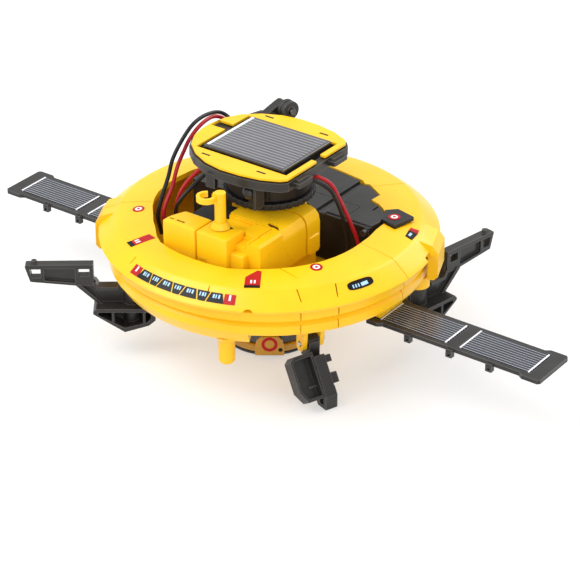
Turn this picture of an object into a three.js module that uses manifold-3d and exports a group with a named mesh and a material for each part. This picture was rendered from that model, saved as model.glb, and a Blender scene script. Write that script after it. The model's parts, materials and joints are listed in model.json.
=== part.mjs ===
// Solar disc station built from a robot kit: a round hull on a helmet base, with a panel turret on top.
// Units are millimetres. +X runs along the right wing, +Y to the rear, +Z up; the origin is under the hull.
import * as THREE from "three";
import { mergeVertices } from "three/addons/utils/BufferGeometryUtils.js";
import Module from "manifold-3d";

const wasm = await Module();
wasm.setup();

// ---- driving dimensions ----
const GAP = 0.35; // clearance between neighbouring pieces
const ROUND_STEPS = 60; // facets round the hull
const HULL_RADIUS = 70; // rim of the upper hull
const RIM_Z = 49; // underside of that rim
const CREASE_RADIUS = 63.2; // where the sloping band meets the deck
const CREASE_Z = 56.2;
const DECK_INNER_Z = 58.8;
// The edge of the deck's opening: [angle, radius] from the left front round to the right.
const OPENING = [[-156, 49], [-140, 47.8], [-126, 48.6], [-118, 50.4], [-112, 51.4], [-90, 51], [-72, 51.5], [-58, 50], [-27, 48.4], [-2, 46.6],
  [14, 46.6]];
const SHELL = 2.2; // plastic wall
const LOWER_RADIUS = 66.5; // lower hull lip
const LOWER_Z = 37; // underside of that lip
const FLOOR_Z = 33.5; // underside of the hull floor
const FLOOR_TOP_Z = 36;
const SEAMS = [-2, 62, 207]; // degrees where the three upper hull segments meet
const LUG_ANGLES = [23, 207];
const LUG_WIDTH = 15;
const LUG_RADIUS = 72;
const WING_Z = 31; // top of the wing cells
const WING_START = 56.5;
const WING_SCREW_X = 59;
const WING_END = 137;
const WING_HALF = 10;
const WING_LIP_HALF = 11.4;
const CELL_HALF = 7.9;
const CELL_SPANS = [[61, 92.8], [98.4, 130.8]];
const BOX_TOP_Z = 67.2; // flat top of the gearbox, under the turntable
const RING_RADIUS = 19.1;
const RING_Z = 67.6;
const RING_TEETH = 36;
const DRUM_RADIUS = 17.3;
const FRAME_Z = 82.4; // underside of the panel frame
const PLATE_Z = 86.2; // top of the panel frame, where the yellow plate lies
const DECK_TOP_Z = 57.9; // top of the dark inner deck, level with the hull
const DECK_FRONT_Y = 11.8;
const MODULE = 0.8;
const WHEEL_TEETH = 32;
const PINION_TEETH = 8;
const CENTRES = MODULE * (WHEEL_TEETH + PINION_TEETH) / 2;
const IDLER = { x: 6.06, y: -14.81 }; // compound gear axis
const MOTOR = { x: -3, y: -28 }; // motor axis
const OUTPUT_GEAR_Z = 39.4;
const IDLER_GEAR_Z = 44.2;
const GEAR_THICK = 3;
const HELMET_RADIUS = 20;
const LEG_PIVOT = { x: 39.1, y: -31.8, z: 23.4, heading: -20, across: 4.3 };
const LEG_SLOPE = 57;
const FOOT_REACH = 16.6; // from the leg pin out to the front of the foot // degrees below level
const ARM_PIVOTS = {
  left: { x: -38.7, y: -43.5, heading: 217 },
  right: { x: 57.1, y: 25.3, heading: 79 },
};
const HOOK_POST = { x: 4.7, y: -38.9 };
const CASTER_HINGE = { x: -21.6, y: 24.6, z: 83.6, heading: 73 };
const CASTER_REACH = 9.6; // from the hinge to the wheel, along and up
const CASTER_RISE = 3.8;
const WIRE_RADIUS = 0.85;

// ---- materials ----
const paint = (color, roughness = 0.35, metalness = 0) =>
  new THREE.MeshStandardMaterial({ color, roughness, metalness });
const YELLOW = paint(0xf7c30c);
const GREY = paint(0x4a4745);
const BLACK = paint(0x161616);
const CELL = paint(0x20242c, 0.2);
const AMBER = paint(0xb9780f);
const STEEL = paint(0xb8bbc0, 0.3, 1);
const BRASS = paint(0xc9a04a, 0.3, 1);
const NYLON = paint(0xe9e6dc, 0.5);
const RED_WIRE = paint(0xc01a28, 0.45);
const BLACK_WIRE = paint(0x141414, 0.45);
const RUBBER = paint(0x1b1b1b, 0.9);

// ---- helpers ----
const radians = (degrees) => (degrees * Math.PI) / 180;

function solid(geometry) {
  const bare = geometry.index ? geometry.toNonIndexed() : geometry.clone();
  bare.deleteAttribute("normal");
  bare.deleteAttribute("uv");
  const merged = mergeVertices(bare, 1e-4);
  const corners = new Uint32Array(merged.index.array);
  const build = () =>
    new wasm.Manifold(
      new wasm.Mesh({
        numProp: 3,
        vertProperties: new Float32Array(merged.attributes.position.array),
        triVerts: corners,
      }),
    );
  const made = build();
  if (made.volume() > 0) return made;
  for (let i = 0; i < corners.length; i += 3) {
    [corners[i + 1], corners[i + 2]] = [corners[i + 2], corners[i + 1]];
  }
  return build();
}

const join = (...parts) => parts.reduce((all, part) => all.add(part));
const cut = (body, ...tools) => tools.reduce((left, tool) => left.subtract(tool), body);

function block(x0, x1, y0, y1, z0, z1) {
  const shape = new THREE.BoxGeometry(x1 - x0, y1 - y0, z1 - z0);
  return solid(shape.translate((x0 + x1) / 2, (y0 + y1) / 2, (z0 + z1) / 2));
}

function post(radius, z0, z1, x = 0, y = 0, sides = 24, topRadius = radius) {
  const shape = new THREE.CylinderGeometry(topRadius, radius, z1 - z0, sides);
  return solid(shape.rotateX(Math.PI / 2).translate(x, y, (z0 + z1) / 2));
}

// A bar of round section between two points.
function bar(from, to, radius, sides = 16) {
  const a = new THREE.Vector3(...from);
  const b = new THREE.Vector3(...to);
  const shape = new THREE.CylinderGeometry(radius, radius, a.distanceTo(b), sides);
  const turn = new THREE.Quaternion();
  turn.setFromUnitVectors(new THREE.Vector3(0, 1, 0), b.clone().sub(a).normalize());
  shape.applyQuaternion(turn);
  const middle = a.add(b).multiplyScalar(0.5);
  return solid(shape.translate(middle.x, middle.y, middle.z));
}

// A flat outline in X and Y, extruded upwards.
function prism(points, z0, z1) {
  const outline = new THREE.Shape(points.map(([x, y]) => new THREE.Vector2(x, y)));
  const shape = new THREE.ExtrudeGeometry(outline, { depth: z1 - z0, bevelEnabled: false });
  return solid(shape.translate(0, 0, z0));
}

// An outline in X and Z, extruded along Y.
function slab(points, y0, y1) {
  const outline = new THREE.Shape(points.map(([x, z]) => new THREE.Vector2(x, z)));
  const shape = new THREE.ExtrudeGeometry(outline, { depth: y1 - y0, bevelEnabled: false });
  return solid(shape.rotateX(Math.PI / 2).translate(0, y1, 0));
}

// A closed profile of radius and height, turned round Z.
function turned(profile, steps = ROUND_STEPS) {
  const points = profile.map(([radius, z]) => new THREE.Vector2(radius, z));
  points.push(points[0].clone());
  return solid(new THREE.LatheGeometry(points, steps).rotateX(Math.PI / 2));
}

// The part of a round piece that lies between two angles.
function wedge(from, to, z0, z1, reach = 130) {
  const points = [[0, 0]];
  const steps = Math.ceil((to - from) / 40);
  for (let i = 0; i <= steps; i += 1) {
    const angle = radians(from + ((to - from) * i) / steps);
    points.push([reach * Math.cos(angle), reach * Math.sin(angle)]);
  }
  return prism(points, z0, z1);
}

// A solid as a plain geometry, and a solid moved by a matrix.
function shapeOf(body) {
  const made = body.getMesh();
  const shape = new THREE.BufferGeometry();
  shape.setAttribute("position", new THREE.BufferAttribute(new Float32Array(made.vertProperties), 3));
  shape.setIndex(new THREE.BufferAttribute(new Uint32Array(made.triVerts), 1));
  return shape;
}
function moved(body, matrix) {
  return solid(shapeOf(body).applyMatrix4(matrix));
}

// Turned by an angle in degrees round Z, then shifted.
function placed(body, degreesRound, x, y, z = 0) {
  const matrix = new THREE.Matrix4().makeRotationZ(radians(degreesRound));
  return moved(body, matrix.setPosition(x, y, z));
}

// Rounds the corners of a rectangle in a plane outline.
function rounded(x0, x1, y0, y1, radius, steps = 3) {
  const points = [];
  const centres = [
    [x1 - radius, y0 + radius, -90],
    [x1 - radius, y1 - radius, 0],
    [x0 + radius, y1 - radius, 90],
    [x0 + radius, y0 + radius, 180],
  ];
  for (const [cx, cy, start] of centres) {
    for (let i = 0; i <= steps; i += 1) {
      const angle = radians(start + (90 * i) / steps);
      points.push([cx + radius * Math.cos(angle), cy + radius * Math.sin(angle)]);
    }
  }
  return points;
}

const station = new THREE.Group();
station.name = "solar_disc_station";

function add(name, body, material) {
  const shape = shapeOf(body);
  shape.computeVertexNormals();
  const mesh = new THREE.Mesh(shape, material);
  mesh.name = name;
  station.add(mesh);
  return body;
}

// The dark five-sided badge that is let into the deck, and the same outline a little larger.
const BADGE = [[39.5, 26.2], [43.2, 18.4], [50.5, 17.2], [52.6, 28.1], [43.4, 30.2]];
const badgeRecess = BADGE.map(([x, y]) => [46 + (x - 46) * 1.06, 24 + (y - 24) * 1.06]);

// ---- upper hull: three curved segments round an open middle ----
// Outline of the opening: nearly round, with stepped edges at the right rear.
function onCircle(radius, from, to, step) {
  const points = [];
  const count = Math.max(1, Math.round(Math.abs(to - from) / step));
  for (let i = 0; i <= count; i += 1) {
    const angle = radians(from + ((to - from) * i) / count);
    points.push([radius * Math.cos(angle), radius * Math.sin(angle)]);
  }
  return points;
}
function deckOpening() {
  const points = [];
  for (let i = 1; i < OPENING.length; i += 1) {
    const [a0, r0] = OPENING[i - 1];
    const [a1, r1] = OPENING[i];
    const steps = Math.ceil((a1 - a0) / 8);
    for (let k = 0; k < steps; k += 1) {
      const angle = radians(a0 + ((a1 - a0) * k) / steps);
      const radius = r0 + ((r1 - r0) * k) / steps;
      points.push([radius * Math.cos(angle), radius * Math.sin(angle)]);
    }
  }
  points.push([45.2, 11.3], [44.6, 19], [43.4, 23], [36.9, 28.6], [33.4, 30.6], [29.2, 31.6], [29.2, 38]);
  points.push([20.2, 43.4], [18.4, 42.5], [15.6, 44.8], [2, 46.6]);
  return points.concat(onCircle(48, 96, 140, 9), onCircle(49.4, 150, 196, 9));
}

function upperHull() {
  const shell = turned([
    [HULL_RADIUS - 2.4, RIM_Z],
    [HULL_RADIUS, RIM_Z],
    [HULL_RADIUS + 0.5, RIM_Z + 1.1],
    [HULL_RADIUS - 0.6, RIM_Z + 2.3],
    [CREASE_RADIUS + 0.5, CREASE_Z - 0.3],
    [CREASE_RADIUS - 1, CREASE_Z + 0.35],
    [54, 57.7],
    [36, DECK_INNER_Z + 0.3],
    [36, DECK_INNER_Z - SHELL + 0.3],
    [54, 57.7 - SHELL],
    [CREASE_RADIUS - 2, CREASE_Z - SHELL + 0.2],
    [HULL_RADIUS - 3.4, RIM_Z + 1.4],
  ]);
  let hull = cut(shell, prism(deckOpening(), RIM_Z - 5, 70), prism(badgeRecess, 57.25, 70));
  for (const angle of LUG_ANGLES) {
    const lug = slab(
      [[63.5, 38], [70.4, 38], [LUG_RADIUS, 39.6], [LUG_RADIUS, 50], [69.4, 53.6], [63.5, 55.6]],
      -LUG_WIDTH / 2,
      LUG_WIDTH / 2,
    );
    const hollow = block(50, LUG_RADIUS - 1.5, -LUG_WIDTH / 2 + 2, LUG_WIDTH / 2 - 2, 30, 51);
    const clear = block(50, LOWER_RADIUS + 1.2, -20, 20, 30, RIM_Z - 0.1);
    hull = hull.add(placed(cut(lug, hollow, clear), angle, 0, 0));
  }
  // A dark notch beside each lug, a half-round one at the front, and fine panel seams.
  for (const angle of [13.5, 197.5]) {
    hull = hull.subtract(placed(block(66.4, 80, -2.6, 2.6, 40, 51.6), angle, 0, 0));
  }
  hull = hull.subtract(bar([30, -53, RIM_Z - 0.6], [37.5, -66, RIM_Z - 0.6], 2.6, 12));
  for (const [angle, lean] of [[-43.2, 13], [-30.2, -13]]) {
    const groove = placed(block(-6.5, 6.5, -0.25, 0.25, -0.6, 3), lean, 0, 0);
    hull = hull.subtract(placed(groove, angle, 66.6 * Math.cos(radians(angle)),
      66.6 * Math.sin(radians(angle)), 53));
  }
  for (const angle of [-75, -110, 100, 140, 175]) {
    hull = hull.subtract(placed(block(63.6, 69.4, -0.25, 0.25, 53.4, 57), angle, 0, 0));
  }
  // Two long seams that cross the deck at the right front.
  for (const [x, y, turn] of [[48.6, -33.4, 62], [42.4, -38.6, -8]]) {
    hull = hull.subtract(placed(block(-10.5, 10.5, -0.22, 0.22, 57.15, 60), turn, x, y));
  }
  return hull;
}

const upper = upperHull();
const segmentNames = ["hull_top_right", "hull_top_rear", "hull_top_front"];
SEAMS.forEach((seam, i) => {
  const end = i < 2 ? SEAMS[i + 1] : SEAMS[0] + 360;
  const edge = 0.14; // half the seam, in degrees
  add(segmentNames[i], upper.intersect(wedge(seam + edge, end - edge, 30, 80)), YELLOW);
});

// ---- lower hull: a double-lipped ring with a floor, in two halves ----
function lowerHull() {
  const shell = turned([
    [3.4, FLOOR_Z],
    [57, FLOOR_Z],
    [LOWER_RADIUS - 0.6, LOWER_Z],
    [LOWER_RADIUS, LOWER_Z + 1.2],
    [LOWER_RADIUS - 0.3, LOWER_Z + 4],
    [LOWER_RADIUS - 1.6, LOWER_Z + 5.2],
    [LOWER_RADIUS + 0.3, LOWER_Z + 6.8],
    [LOWER_RADIUS + 0.1, LOWER_Z + 10.6],
    [LOWER_RADIUS - 1.5, LOWER_Z + 11.6],
    [62.4, LOWER_Z + 11.6],
    [62, FLOOR_TOP_Z + 1.6],
    [57, FLOOR_TOP_Z],
    [3.4, FLOOR_TOP_Z],
  ]);
  let hull = shell;
  // The deeper skirt at the front, with the short peg that hangs from it.
  const skirt = turned([[54, 31.3], [61.6, 31.3], [63.2, 33], [65.6, 37.2], [60, 37.2], [54, 34.5]]);
  hull = hull.add(skirt.intersect(wedge(-119, -61, 30, 40)));
  const peg = { x: 57 * Math.cos(radians(-71)), y: 57 * Math.sin(radians(-71)) };
  hull = join(
    hull,
    post(3.4, 19.6, 32, peg.x, peg.y, 20),
    post(2.7, 18.6, 19.7, peg.x, peg.y, 20, 3.4),
    post(3.4, 28.6, 31.8, peg.x, peg.y, 20, 5.6),
  );
  // Two lugs that hold the leg pin.
  const earOutline = [[-2.2, 35], [-2.2, LEG_PIVOT.z - 1.8], [-1.2, LEG_PIVOT.z - 3.2],
    [1.2, LEG_PIVOT.z - 3.2], [2.4, LEG_PIVOT.z - 1.8], [3.6, 35]];
  for (const side of [-1, 1]) {
    const middle = LEG_PIVOT.across + side * 4.1;
    const ear = slab(earOutline, middle - 1, middle + 1);
    const hole = bar([0, -9, LEG_PIVOT.z], [0, 14, LEG_PIVOT.z], 1.3, 16);
    hull = hull.add(placed(cut(ear, hole), LEG_PIVOT.heading, LEG_PIVOT.x, LEG_PIVOT.y));
  }
  // A boss over each arm pin and a pad over each wing root.
  for (const arm of Object.values(ARM_PIVOTS)) {
    hull = hull.add(post(5, 30.5, FLOOR_Z + 2, arm.x, arm.y, 20));
    hull = hull.subtract(post(1.95, 25, 34.9, arm.x, arm.y, 20));
  }
  for (const side of [-1, 1]) {
    const from = Math.min(side * 47, side * 61);
    hull = hull.add(block(from, from + 14, -8, 8, WING_Z + 0.3, FLOOR_Z + 2.2));
    const holes = [5, -5].map((y) => post(1.3, 20, 35.2, side * WING_SCREW_X, y, 10));
    hull = cut(hull, ...holes);
  }
  // A shallow seam across the lip at each side of the leg.
  for (const angle of [-43, -29.5, -150, 30, 110]) {
    hull = hull.subtract(placed(block(65.4, 70, -0.25, 0.25, 30, 60), angle, 0, 0));
  }
  return hull;
}

const lower = lowerHull();
add("hull_bottom_rear", lower.intersect(wedge(0.2, 179.8, 10, 60)), YELLOW);
add("hull_bottom_front", lower.intersect(wedge(180.2, 359.8, 10, 60)), YELLOW);

// ---- inner deck: the dark block that fills the rear of the opening, level with the hull ----
function innerDeck() {
  const outline = [
    [-43.4, 14], [-43.4, 4.5], ...onCircle(17.4, 165, 43, 12),
    [41.4, DECK_FRONT_Y], [42.4, 18], [40.2, 24.6], [36.5, 28.1], [33.1, 30.1], [28.8, 31.2], [28.8, 37.6],
    [20, 42.8], [18.4, 42], [15.4, 44.3], [2, 46.1], ...onCircle(47.3, 97, 150, 9),
  ];
  const room = [[-40, 14], [-40.4, 8], [-20.6, 8], ...onCircle(20.4, 156, 45, 20), [38, DECK_FRONT_Y + 3],
    [38.6, 18], [34, 25], [25.8, 29], [25.8, 35], [16, 39.4], [2, 42.6], ...onCircle(43.4, 100, 150, 12)];
  let deck = prism(outline, FLOOR_TOP_Z + GAP, DECK_TOP_Z);
  deck = deck.subtract(prism(room, 30, DECK_TOP_Z - 2.6));
  return cut(
    deck,
    // A deep groove and a thin one run to the rear, with a sunk strip between them.
    block(14.6, 16.2, 0, 60, DECK_TOP_Z - 1.6, 60),
    block(16.1, 18.6, 0, 60, DECK_TOP_Z - 0.6, 60),
    block(18.5, 19, 0, 60, DECK_TOP_Z - 1.1, 60),
    block(-20, 28.4, 24.5, 24.9, DECK_TOP_Z - 0.5, 60),
    block(19.5, 44, 11, 13.5, DECK_TOP_Z - 0.5, 60),
    block(33.7, 34.7, 25, 29.2, DECK_TOP_Z - 1.2, 60),
    block(-10.4, -9.4, 17, 60, DECK_TOP_Z - 1.2, 60),
    block(28, 28.5, 13.4, 24.6, DECK_TOP_Z - 0.5, 60),
  ).add(bar([40, DECK_FRONT_Y + 1, 55.6], [40, DECK_FRONT_Y - 2.4, 55.6], 1.4, 14));
}
add("inner_deck", innerDeck(), GREY);
add("deck_badge", prism(BADGE, 57.6, 59.4), BLACK);

// ---- gearbox: tray, front shell, rear shell and the dark motor housing ----
const tray = cut(
  prism([[-16.4, 0], [-16.4, -34], [-12, -41], [18.5, -41], [23.5, -36.5], [23.5, 0],
    ...onCircle(16.4, 0, 180, 15).slice(0, -1)], FLOOR_TOP_Z + GAP, 48.6),
  prism([[-14.3, 0], [-14.3, -33.4], [-11.2, -39], [17.6, -39], [21.5, -35.6], [21.5, 0],
    ...onCircle(14.3, 0, 180, 15).slice(0, -1)], 38.4, 60),
  post(2.4, 30, 40, 0, 0, 20),
);
add("gearbox_tray", tray.add(post(2.6, 38, 39.1, IDLER.x, IDLER.y, 16))
  .subtract(post(1.25, 37.6, 45, IDLER.x, IDLER.y, 16)), YELLOW);

// A block with its upright edges and the edges of its top rounded.
function lid(x0, x1, y0, y1, z0, z1, r = 1.3) {
  const arch = (a, b) => [[a, z0], [b, z0], [b, z1 - r], [b - r * 0.3, z1 - r * 0.3], [b - r, z1],
    [a + r, z1], [a + r * 0.3, z1 - r * 0.3], [a, z1 - r]];
  const plan = prism(rounded(x0, x1, y0, y1, r, 2), z0, z1);
  const across = placed(slab(arch(y0, y1), -x1, -x0), 90, 0, 0);
  return plan.intersect(slab(arch(x0, x1), y0, y1)).intersect(across);
}

function gearboxFront() {
  const corner = prism([[-19, -48], [-2, -48], [-2, -34], [-14.6, -34], [-19, -45]], 40, 80);
  const left = lid(-18.9, -2.3, -46.8, -34.8, 49.8, 68).intersect(corner);
  const middle = lid(-1.9, 13.6, -46.8, -34.4, 49.8, 68.2);
  const low = lid(12.6, 20.2, -44.6, -38, 49.8, 62);
  const shelf = block(12.6, 20, -41.3, -34, 49.8, 64.4);
  const sideProfile = [[19.4, 49.8], [26, 49.8], [26, 66.2], [25, BOX_TOP_Z], [19.4, BOX_TOP_Z]];
  const sideFront = slab(sideProfile, -41.4, -26.4);
  const sideRear = slab([[-1, 49.8], [26, 49.8], [26, 61.8], [25.3, 64.6], [23.6, 66.5], [21, BOX_TOP_Z],
    [-1, BOX_TOP_Z]], -26.6, -10.4);
  const middleFloor = block(-1, 20, -36, -25, 49.8, 65.4);
  const lip = block(-0.4, 12, -25.3, -19.6, 60, BOX_TOP_Z + 0.1);
  const joint = block(-18.4, 20, -41, -34.6, 49.2, 60);
  const boss = post(5.5, 64, 67.4, 17.3, -30.9, 22, 5.1);
  const shell = join(left, middle, low, shelf, sideFront, sideRear, middleFloor, lip, joint, boss);
  return cut(
    shell,
    post(10.7, 40, 64.2, MOTOR.x, MOTOR.y, 24),
    post(2.3, 60, 75, HOOK_POST.x, HOOK_POST.y, 20),
    post(1.25, 45, 52, IDLER.x, IDLER.y, 16),
    // Small dark slots and notches in the blocks.
    block(-17.1, -14.9, -44.2, -43.3, 66.6, 72),
    block(-13.8, -9.6, -44.2, -43.1, 66.6, 72),
    block(-2.2, 3.6, -48, -45.8, 49, 56.6),
    prism([[16.4, -22.2], [21, -22.8], [23.4, -25], [19.4, -25.4], [17, -24.4]], 65, 70),
    block(7, 9.2, -37.6, -34, 64, 70),
    block(-3.4, -0.3, -27.4, -24.8, 60, 70),
    block(20.6, 21, -41.6, -26, 66.4, 70),
    block(-0.2, 26.2, -26.7, -26.3, 66.6, 70),
  );
}
add("gearbox_front", gearboxFront(), YELLOW);

function gearboxRear() {
  const outline = [[-1, 49.4], [26, 49.4], [26, 61.8], [25.3, 64.6], [23.6, 66.5], [21, BOX_TOP_Z],
    [-1, BOX_TOP_Z]];
  const side = join(
    slab(outline, -9.4, -0.8),
    lid(18, 26.9, -8.6, -1.6, 49.4, 57),
    post(15.4, 49.4, BOX_TOP_Z, 0, 0, 32).subtract(block(-20, 20, -20, -9.4, 40, 80)),
  );
  return cut(
    side,
    post(12.8, 40, 64.4, 0, 0, 28).subtract(block(-20, 20, -20, -7.4, 30, 80)),
    slab([[14, 40], [23.8, 40], [23.8, 61], [22.4, 64.4], [14, 64.4]], -7.4, -2.8),
    post(4.4, 60, 90, 0, 0, 24),
    block(8, 12, -6, -3, 60, 80),
  );
}
add("gearbox_rear", gearboxRear(), YELLOW);

function motorHousing() {
  const outline = [[-15.6, -34.2], [-1.4, -34.2], [-1.4, -16.6], [-12.6, -16.6], [-15.6, -19.6]];
  const outer = prism(outline, 49.2, 65.2);
  return cut(outer, post(10.7, 40, 63, MOTOR.x, MOTOR.y, 24), block(-13, -9, -20, -10, 52, 62));
}
add("motor_housing", motorHousing(), BLACK);

// ---- motor and gear train ----
const involute = (angle) => Math.tan(angle) - angle;

// One gear as an outline of involute teeth, the first tooth centred on the start angle.
function gearOutline(teeth, tip, root, start) {
  const pitch = (MODULE * teeth) / 2;
  const base = pitch * Math.cos(radians(20));
  const halfTooth = (0.44 * Math.PI) / teeth;
  const points = [];
  const flank = teeth > 20 ? [Math.max(root, base), tip] : [Math.max(root, base), pitch, tip];
  const lean = (r) => involute(Math.acos(Math.min(1, base / r)));
  const widths = flank.map((r) => halfTooth + involute(radians(20)) - lean(r));
  if (root < base) {
    flank.unshift(root);
    widths.unshift(widths[0]);
  }
  for (let tooth = 0; tooth < teeth; tooth += 1) {
    const middle = radians(start) + (tooth * 2 * Math.PI) / teeth;
    flank.forEach((r, i) => points.push([r, middle - widths[i]]));
    [...flank].reverse().forEach((r, i) => points.push([r, middle + widths[flank.length - 1 - i]]));
  }
  return points.map(([r, angle]) => [r * Math.cos(angle), r * Math.sin(angle)]);
}

const WHEEL = { tip: 13.15, root: 11.7 };
const PINION = { tip: 4, root: 2.5 };
const degrees = (y, x) => (Math.atan2(y, x) * 180) / Math.PI;
const toIdler = degrees(IDLER.y, IDLER.x);
const toMotor = degrees(MOTOR.y - IDLER.y, MOTOR.x - IDLER.x);
const halfPinionStep = 180 / PINION_TEETH;

// The output wheel has a tooth on the line to the idler, where the idler has a gap.
const outputGear = cut(
  join(
    prism(gearOutline(WHEEL_TEETH, WHEEL.tip, WHEEL.root, toIdler), OUTPUT_GEAR_Z,
      OUTPUT_GEAR_Z + GEAR_THICK),
    post(4.2, OUTPUT_GEAR_Z - 0.6, OUTPUT_GEAR_Z + GEAR_THICK + 0.8, 0, 0, 20),
  ),
  post(1.8, 30, 50, 0, 0, 20),
);
add("output_gear", outputGear, NYLON);
const idlerSmall = prism(
  gearOutline(PINION_TEETH, PINION.tip, PINION.root, toIdler + 180 - halfPinionStep),
  OUTPUT_GEAR_Z,
  IDLER_GEAR_Z + 0.2,
);
const idlerBig = prism(
  gearOutline(WHEEL_TEETH, WHEEL.tip, WHEEL.root, toMotor),
  IDLER_GEAR_Z,
  IDLER_GEAR_Z + GEAR_THICK,
);
const idlerBody = cut(join(idlerSmall, idlerBig), post(1.3, 30, 60, 0, 0, 16));
add("compound_gear", placed(idlerBody, 0, IDLER.x, IDLER.y), NYLON);
add("compound_axle", post(1, 37.8, 49.6, IDLER.x, IDLER.y, 16), STEEL);
const pinion = cut(
  prism(gearOutline(PINION_TEETH, PINION.tip, PINION.root, toMotor + 180 - halfPinionStep),
    IDLER_GEAR_Z - 0.6, IDLER_GEAR_Z + 4),
  post(1.1, 30, 60, 0, 0, 12),
);
add("motor_pinion", placed(pinion, 0, MOTOR.x, MOTOR.y), BRASS);
add("motor_shaft", post(0.8, 42, 62.6, MOTOR.x, MOTOR.y, 12), STEEL);
const can = prism(rounded(-9.7, 9.7, -7.3, 7.3, 5), 51.4, 62);
add("motor_can", placed(can.subtract(post(1.3, 40, 70, 0, 0, 12)), 0, MOTOR.x, MOTOR.y), STEEL);
const cap = prism(rounded(-9.5, 9.5, -7.1, 7.1, 5), 49.3, 51.1).subtract(post(1.3, 40, 70, 0, 0, 12));
add("motor_cap", placed(cap, 0, MOTOR.x, MOTOR.y), NYLON);

// ---- helmet base that the station turns on ----
const dome = cut(
  turned([[1.9, 27], [7, 26.2], [13, 22.4], [17.4, 14.6], [19, 5.2], [16.6, 5.2], [15, 13.4],
    [10.6, 20.6], [5.4, 23.8], [1.9, 24.2]], 36),
);
add("helmet_dome", dome, GREY);
const brow = turned([[16.4, 1.4], [19.4, 1.4], [HELMET_RADIUS, 2], [HELMET_RADIUS, 4.2], [19.4, 4.9],
  [16.4, 4.9]], 36);
add("helmet_band", brow, AMBER);
add("base_plate", post(HELMET_RADIUS - 0.6, 0, 1, 0, 0, 36), GREY);
const badgeFace = slab([[-6, 2.2], [6, 2.2], [6.2, 6], [5.4, 9], [3.4, 11], [-3.4, 11], [-5.4, 9], [-6.2, 6]],
  -HELMET_RADIUS - 3.2, -HELMET_RADIUS - 1.4);
const badge = badgeFace.add(block(-4, 4, -HELMET_RADIUS - 1.6, -HELMET_RADIUS - 0.3, 5.3, 9));
add("helmet_badge", placed(badge, 36, 0, 0), AMBER);
add("output_shaft", post(1.6, 21, 44, 0, 0, 20).add(post(4, 20.2, 22.6, 0, 0, 20)), STEEL);

// ---- wings ----
function wing() {
  const outline = [[WING_START, -WING_LIP_HALF], [WING_START + 5, -WING_LIP_HALF],
    [WING_START + 7, -WING_HALF], [WING_END - 10, -WING_HALF], [WING_END - 8, -WING_LIP_HALF],
    [WING_END - 1, -WING_LIP_HALF], [WING_END, -WING_LIP_HALF + 1], [WING_END, WING_LIP_HALF - 1],
    [WING_END - 1, WING_LIP_HALF], [WING_END - 8, WING_LIP_HALF], [WING_END - 10, WING_HALF],
    [WING_START + 7, WING_HALF], [WING_START + 5, WING_LIP_HALF], [WING_START, WING_LIP_HALF]];
  let plate = prism(outline, WING_Z - 1.8, WING_Z);
  const hollow = block(WING_START + 8, WING_END - 3, -WING_HALF + 1.2, WING_HALF - 1.2, 20, WING_Z - 1.35);
  plate = plate.subtract(hollow);
  for (const [from, to] of CELL_SPANS) {
    plate = plate.subtract(block(from - GAP, to + GAP, -CELL_HALF - GAP, CELL_HALF + GAP, WING_Z - 0.75, 40));
  }
  for (const x of [76, 95.6, 114]) {
    const loop = cut(
      block(x - 1.4, x + 1.4, -WING_HALF - 1.2, -WING_HALF + 1, WING_Z - 4.2, WING_Z - 0.6),
      bar([x, -WING_HALF - 3, WING_Z - 3], [x, -WING_HALF + 3, WING_Z - 3], 0.7, 8),
    );
    plate = plate.add(loop);
  }
  const screwHoles = [5, -5].map((y) => post(1.3, 20, 40, WING_SCREW_X, y, 10));
  return cut(plate.subtract(block(WING_START - 1, 60.4, -8.5, 8.5, WING_Z - 0.2, 40)), ...screwHoles);
}
function wingCell([from, to]) {
  return block(from, to, -CELL_HALF, CELL_HALF, WING_Z - 0.4, WING_Z + 0.25);
}
const wingBody = wing();
for (const [side, hand] of [["right", 1], ["left", -1]]) {
  const mirror = new THREE.Matrix4().makeScale(hand, 1, 1);
  add("wing_" + side, moved(wingBody, mirror), GREY);
  CELL_SPANS.forEach((span, i) => {
    const place = i === 0 ? "inner" : "outer";
    add("wing_cell_" + side + "_" + place, moved(wingCell(span), mirror), CELL);
  });
}

// ---- screws that hold each wing root ----
for (const side of [1, -1]) {
  const pair = [5, -5].map((y) => join(
    post(1, 28, 34.6, side * WING_SCREW_X, y, 10),
    post(2.2, 27.1, 28.8, side * WING_SCREW_X, y, 12),
  ));
  const middle = side * WING_SCREW_X;
  const slot = [5, -5].map((y) => block(middle - 1.5, middle + 1.5, y - 0.3, y + 0.3, 25, 27.7));
  pair.forEach((screw, i) => {
    add("wing_screw_" + (side > 0 ? "right" : "left") + "_" + (i + 1), cut(screw, slot[i]), STEEL);
  });
}

// ---- folding leg ----
// Built lying along +X from its pivot at the origin, then sloped down and swung to its place.
function legBody() {
  const across = LEG_PIVOT.across;
  const knuckle = cut(
    join(bar([0, across - 2.7, 0], [0, across + 2.7, 0], 2.9, 20),
      block(0, 8, across - 2.6, across + 1.9, -2.4, 0)),
    bar([0, -5, 0], [0, 12, 0], 1.35, 16),
  );
  const trough = cut(
    prism([[4.4, -7.6], [6, -9.6], [18.6, -9.6], [23.4, -6.8], [23.4, 1.4], [4.4, 1.4]], -1.2, 3.8),
    prism([[5.8, -7.2], [6.6, -8.6], [18.2, -8.6], [22.2, -6.2], [22.2, 0.2], [5.8, 0.2]], -0.1, 10),
  );
  const spine = block(6.6, 30, 1.1, 6.2, -3, 4.4);
  const rib = block(17.6, 18.2, -3.4, 1, -1, 1.2);
  const studs = join(
    block(7.4, 10.4, 6, 9, 0.6, 3.8),
    block(14.8, 19.2, 6, 9.6, -0.4, 3.4),
  );
  const foot = block(20, 36, 0.8, 6.4, -3.6, 4.4);
  return join(knuckle, trough, spine, rib, studs, foot);
}
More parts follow.
